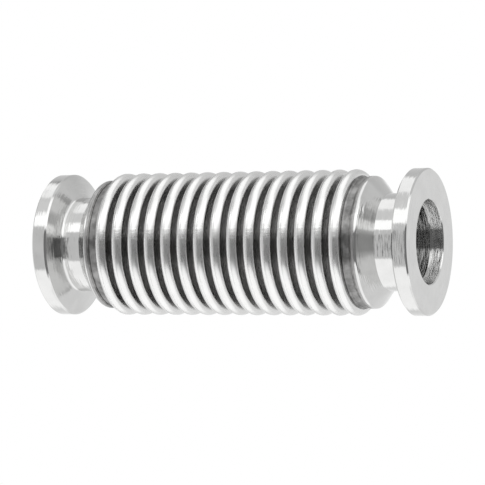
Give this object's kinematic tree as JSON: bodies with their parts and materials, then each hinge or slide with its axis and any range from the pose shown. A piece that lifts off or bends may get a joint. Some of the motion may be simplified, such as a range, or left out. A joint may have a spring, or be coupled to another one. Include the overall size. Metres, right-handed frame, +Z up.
{
  "type": "metal bellows expansion joint",
  "caption": "Corrugated thin-wall metal bellows between two small clamp flanges, which takes up axial, angular and sideways movement in a vacuum or process line.",
  "frame": {"origin": "centre of the bellows, on the pipe axis", "axes": "+X along the pipe axis towards the right flange, +Z up when it lies level"},
  "size_m": [0.083, 0.03, 0.03],
  "materials": {
    "flange_steel": "turned, bright",
    "bellows_steel": "formed, semi-bright",
    "weld_metal": "as welded, dull"
  },
  "bodies": {
    "left_end": {"flange_left": "flange_steel", "bore_weld_left": "weld_metal", "end_cone_left": "flange_steel", "seam_weld_left": "weld_metal", "cuff_left": "bellows_steel"},
    "wall_01_right": {"convolution_01_right": "bellows_steel"},
    "wall_02_left": {"convolution_02_left": "bellows_steel"},
    "wall_02_right": {"convolution_02_right": "bellows_steel"},
    "wall_03_left": {"convolution_03_left": "bellows_steel"},
    "wall_03_right": {"convolution_03_right": "bellows_steel"},
    "wall_04_left": {"convolution_04_left": "bellows_steel"},
    "wall_04_right": {"convolution_04_right": "bellows_steel"},
    "wall_05_left": {"convolution_05_left": "bellows_steel"},
    "wall_05_right": {"convolution_05_right": "bellows_steel"},
    "wall_06_left": {"convolution_06_left": "bellows_steel"},
    "wall_06_right": {"convolution_06_right": "bellows_steel"},
    "wall_07_left": {"convolution_07_left": "bellows_steel"},
    "wall_07_right": {"convolution_07_right": "bellows_steel"},
    "wall_08_left": {"convolution_08_left": "bellows_steel"},
    "wall_08_right": {"convolution_08_right": "bellows_steel"},
    "wall_09_left": {"convolution_09_left": "bellows_steel"},
    "wall_09_right": {"convolution_09_right": "bellows_steel"},
    "wall_10_left": {"convolution_10_left": "bellows_steel"},
    "wall_10_right": {"convolution_10_right": "bellows_steel"},
    "wall_11_left": {"convolution_11_left": "bellows_steel"},
    "wall_11_right": {"convolution_11_right": "bellows_steel"},
    "wall_12_left": {"convolution_12_left": "bellows_steel"},
    "wall_12_right": {"convolution_12_right": "bellows_steel"},
    "wall_13_left": {"convolution_13_left": "bellows_steel"},
    "wall_13_right": {"convolution_13_right": "bellows_steel"},
    "wall_14_left": {"convolution_14_left": "bellows_steel"},
    "wall_14_right": {"convolution_14_right": "bellows_steel"},
    "wall_15_left": {"convolution_15_left": "bellows_steel"},
    "right_end": {"flange_right": "flange_steel", "bore_weld_right": "weld_metal", "end_cone_right": "flange_steel", "seam_weld_right": "weld_metal", "cuff_right": "bellows_steel"}
  },
  "joints": [
    {"name": "stretch_01", "type": "slide", "parent": "left_end", "child": "wall_01_right", "axis": [1, 0, 0], "range_m": [-0.00045, 0.0003], "stiffness_N_per_m": 7000, "deforming": ["convolution_01_right"]},
    {"name": "pitch_left_1", "type": "hinge", "parent": "wall_01_right", "child": "wall_02_left", "pos_m": [-0.02405, 0, 0], "axis": [0, 1, 0], "range_deg": [-3.12, 3.12], "stiffness_Nm_per_rad": 1.6, "deforming": ["convolution_02_left"]},
    {"name": "stretch_02", "type": "slide", "parent": "wall_02_left", "child": "wall_02_right", "axis": [1, 0, 0], "range_m": [-0.00045, 0.0003], "stiffness_N_per_m": 7000, "deforming": ["convolution_02_right"]},
    {"name": "yaw_left_1", "type": "hinge", "parent": "wall_02_right", "child": "wall_03_left", "pos_m": [-0.02035, 0, 0], "axis": [0, 0, 1], "range_deg": [-4.17, 4.17], "stiffness_Nm_per_rad": 1.2, "deforming": ["convolution_03_left"]},
    {"name": "stretch_03", "type": "slide", "parent": "wall_03_left", "child": "wall_03_right", "axis": [1, 0, 0], "range_m": [-0.00045, 0.0003], "stiffness_N_per_m": 7000, "deforming": ["convolution_03_right"]},
    {"name": "pitch_left_2", "type": "hinge", "parent": "wall_03_right", "child": "wall_04_left", "pos_m": [-0.01665, 0, 0], "axis": [0, 1, 0], "range_deg": [-3.12, 3.12], "stiffness_Nm_per_rad": 1.6, "deforming": ["convolution_04_left"]},
    {"name": "stretch_04", "type": "slide", "parent": "wall_04_left", "child": "wall_04_right", "axis": [1, 0, 0], "range_m": [-0.00045, 0.0003], "stiffness_N_per_m": 7000, "deforming": ["convolution_04_right"]},
    {"name": "yaw_left_2", "type": "hinge", "parent": "wall_04_right", "child": "wall_05_left", "pos_m": [-0.01295, 0, 0], "axis": [0, 0, 1], "range_deg": [-4.17, 4.17], "stiffness_Nm_per_rad": 1.2, "deforming": ["convolution_05_left"]},
    {"name": "stretch_05", "type": "slide", "parent": "wall_05_left", "child": "wall_05_right", "axis": [1, 0, 0], "range_m": [-0.00045, 0.0003], "stiffness_N_per_m": 7000, "deforming": ["convolution_05_right"]},
    {"name": "pitch_left_3", "type": "hinge", "parent": "wall_05_right", "child": "wall_06_left", "pos_m": [-0.00925, 0, 0], "axis": [0, 1, 0], "range_deg": [-3.12, 3.12], "stiffness_Nm_per_rad": 1.6, "deforming": ["convolution_06_left"]},
    {"name": "stretch_06", "type": "slide", "parent": "wall_06_left", "child": "wall_06_right", "axis": [1, 0, 0], "range_m": [-0.00045, 0.0003], "stiffness_N_per_m": 7000, "deforming": ["convolution_06_right"]},
    {"name": "yaw_left_3", "type": "hinge", "parent": "wall_06_right", "child": "wall_07_left", "pos_m": [-0.00555, 0, 0], "axis": [0, 0, 1], "range_deg": [-4.17, 4.17], "stiffness_Nm_per_rad": 1.2, "deforming": ["convolution_07_left"]},
    {"name": "stretch_07", "type": "slide", "parent": "wall_07_left", "child": "wall_07_right", "axis": [1, 0, 0], "range_m": [-0.00045, 0.0003], "stiffness_N_per_m": 7000, "deforming": ["convolution_07_right"]},
    {"name": "pitch_left_4", "type": "hinge", "parent": "wall_07_right", "child": "wall_08_left", "pos_m": [-0.00185, 0, 0], "axis": [0, 1, 0], "range_deg": [-3.12, 3.12], "stiffness_Nm_per_rad": 1.6, "deforming": ["convolution_08_left"]},
    {"name": "stretch_08", "type": "slide", "parent": "wall_08_left", "child": "wall_08_right", "axis": [1, 0, 0], "range_m": [-0.00045, 0.0003], "stiffness_N_per_m": 7000, "deforming": ["convolution_08_right"]},
    {"name": "pitch_right_1", "type": "hinge", "parent": "wall_08_right", "child": "wall_09_left", "pos_m": [0.00185, 0, 0], "axis": [0, 1, 0], "range_deg": [-3.12, 3.12], "stiffness_Nm_per_rad": 1.6, "deforming": ["convolution_09_left"]},
    {"name": "stretch_09", "type": "slide", "parent": "wall_09_left", "child": "wall_09_right", "axis": [1, 0, 0], "range_m": [-0.00045, 0.0003], "stiffness_N_per_m": 7000, "deforming": ["convolution_09_right"]},
    {"name": "yaw_right_1", "type": "hinge", "parent": "wall_09_right", "child": "wall_10_left", "pos_m": [0.00555, 0, 0], "axis": [0, 0, 1], "range_deg": [-4.17, 4.17], "stiffness_Nm_per_rad": 1.2, "deforming": ["convolution_10_left"]},
    {"name": "stretch_10", "type": "slide", "parent": "wall_10_left", "child": "wall_10_right", "axis": [1, 0, 0], "range_m": [-0.00045, 0.0003], "stiffness_N_per_m": 7000, "deforming": ["convolution_10_right"]},
    {"name": "pitch_right_2", "type": "hinge", "parent": "wall_10_right", "child": "wall_11_left", "pos_m": [0.00925, 0, 0], "axis": [0, 1, 0], "range_deg": [-3.12, 3.12], "stiffness_Nm_per_rad": 1.6, "deforming": ["convolution_11_left"]},
    {"name": "stretch_11", "type": "slide", "parent": "wall_11_left", "child": "wall_11_right", "axis": [1, 0, 0], "range_m": [-0.00045, 0.0003], "stiffness_N_per_m": 7000, "deforming": ["convolution_11_right"]},
    {"name": "yaw_right_2", "type": "hinge", "parent": "wall_11_right", "child": "wall_12_left", "pos_m": [0.01295, 0, 0], "axis": [0, 0, 1], "range_deg": [-4.17, 4.17], "stiffness_Nm_per_rad": 1.2, "deforming": ["convolution_12_left"]},
    {"name": "stretch_12", "type": "slide", "parent": "wall_12_left", "child": "wall_12_right", "axis": [1, 0, 0], "range_m": [-0.00045, 0.0003], "stiffness_N_per_m": 7000, "deforming": ["convolution_12_right"]},
    {"name": "pitch_right_3", "type": "hinge", "parent": "wall_12_right", "child": "wall_13_left", "pos_m": [0.01665, 0, 0], "axis": [0, 1, 0], "range_deg": [-3.12, 3.12], "stiffness_Nm_per_rad": 1.6, "deforming": ["convolution_13_left"]},
    {"name": "stretch_13", "type": "slide", "parent": "wall_13_left", "child": "wall_13_right", "axis": [1, 0, 0], "range_m": [-0.00045, 0.0003], "stiffness_N_per_m": 7000, "deforming": ["convolution_13_right"]},
    {"name": "yaw_right_3", "type": "hinge", "parent": "wall_13_right", "child": "wall_14_left", "pos_m": [0.02035, 0, 0], "axis": [0, 0, 1], "range_deg": [-4.17, 4.17], "stiffness_Nm_per_rad": 1.2, "deforming": ["convolution_14_left"]},
    {"name": "stretch_14", "type": "slide", "parent": "wall_14_left", "child": "wall_14_right", "axis": [1, 0, 0], "range_m": [-0.00045, 0.0003], "stiffness_N_per_m": 7000, "deforming": ["convolution_14_right"]},
    {"name": "pitch_right_4", "type": "hinge", "parent": "wall_14_right", "child": "wall_15_left", "pos_m": [0.02405, 0, 0], "axis": [0, 1, 0], "range_deg": [-3.12, 3.12], "stiffness_Nm_per_rad": 1.6, "deforming": ["convolution_15_left"]},
    {"name": "stretch_15", "type": "slide", "parent": "wall_15_left", "child": "right_end", "axis": [1, 0, 0], "range_m": [-0.00045, 0.0003], "stiffness_N_per_m": 7000}
  ],
  "couplings": [
    {"joint": "stretch_02", "follows": "stretch_01", "ratio": 1},
    {"joint": "stretch_03", "follows": "stretch_01", "ratio": 1},
    {"joint": "pitch_left_2", "follows": "pitch_left_1", "ratio": 1},
    {"joint": "stretch_04", "follows": "stretch_01", "ratio": 1},
    {"joint": "yaw_left_2", "follows": "yaw_left_1", "ratio": 1},
    {"joint": "stretch_05", "follows": "stretch_01", "ratio": 1},
    {"joint": "pitch_left_3", "follows": "pitch_left_1", "ratio": 1},
    {"joint": "stretch_06", "follows": "stretch_01", "ratio": 1},
    {"joint": "yaw_left_3", "follows": "yaw_left_1", "ratio": 1},
    {"joint": "stretch_07", "follows": "stretch_01", "ratio": 1},
    {"joint": "pitch_left_4", "follows": "pitch_left_1", "ratio": 1},
    {"joint": "stretch_08", "follows": "stretch_01", "ratio": 1},
    {"joint": "stretch_09", "follows": "stretch_01", "ratio": 1},
    {"joint": "stretch_10", "follows": "stretch_01", "ratio": 1},
    {"joint": "pitch_right_2", "follows": "pitch_right_1", "ratio": 1},
    {"joint": "stretch_11", "follows": "stretch_01", "ratio": 1},
    {"joint": "yaw_right_2", "follows": "yaw_right_1", "ratio": 1},
    {"joint": "stretch_12", "follows": "stretch_01", "ratio": 1},
    {"joint": "pitch_right_3", "follows": "pitch_right_1", "ratio": 1},
    {"joint": "stretch_13", "follows": "stretch_01", "ratio": 1},
    {"joint": "yaw_right_3", "follows": "yaw_right_1", "ratio": 1},
    {"joint": "stretch_14", "follows": "stretch_01", "ratio": 1},
    {"joint": "pitch_right_4", "follows": "pitch_right_1", "ratio": 1},
    {"joint": "stretch_15", "follows": "stretch_01", "ratio": 1}
  ]
}
